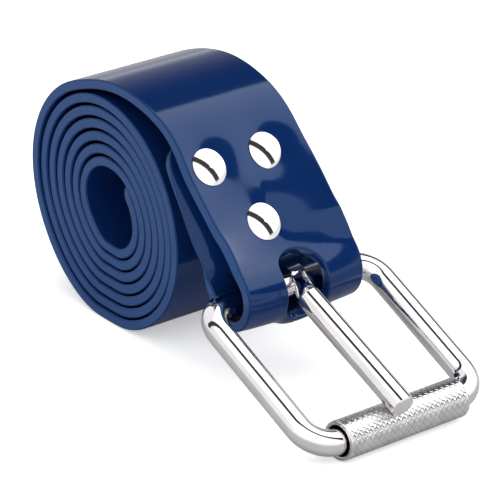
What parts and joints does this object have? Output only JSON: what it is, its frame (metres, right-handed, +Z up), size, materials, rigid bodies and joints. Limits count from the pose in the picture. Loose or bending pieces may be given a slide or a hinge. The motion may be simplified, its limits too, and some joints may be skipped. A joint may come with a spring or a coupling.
{
  "type": "dive weight belt",
  "caption": "Rubber dive weight belt wound into a coil that stands on its edge, with a wire frame buckle, a swinging prong and a knurled roller riveted into its folded end.",
  "frame": {"origin": "on the floor, in the middle of the bounding box's bottom face", "axes": "+X from the coil towards the buckle's roller, +Y across the strap, +Z up"},
  "size_m": [0.1692, 0.0804, 0.0867],
  "materials": {
    "blue_rubber": "glossy moulded rubber",
    "polished_steel": "mirror-polished stainless steel",
    "knurled_steel": "fine criss-cross knurl, bright rims",
    "plain_steel": "plain washer"
  },
  "bodies": {
    "belt": {"strap": "blue_rubber", "rivet_left": "polished_steel", "rivet_right": "polished_steel", "rivet_lower": "polished_steel", "rivet_washer_left": "plain_steel", "rivet_washer_right": "plain_steel", "rivet_washer_lower": "plain_steel"},
    "buckle": {"buckle_frame": "polished_steel"},
    "prong": {"prong": "polished_steel"},
    "roller": {"roller": "knurled_steel"}
  },
  "joints": [
    {"name": "buckle_swing", "type": "hinge", "parent": "belt", "child": "buckle", "pos_m": [0.02, 0, 0.0313], "axis": [0, -1, 0], "range_deg": [-28, 8]},
    {"name": "prong_lift", "type": "hinge", "parent": "buckle", "child": "prong", "pos_m": [0.02, 0, 0.0313], "axis": [0, -1, 0], "range_deg": [0, 24]},
    {"name": "roller_spin", "type": "hinge", "parent": "buckle", "child": "roller", "pos_m": [0.07613, 0, 0.00667], "axis": [0, -1, 0], "continuous": true}
  ]
}
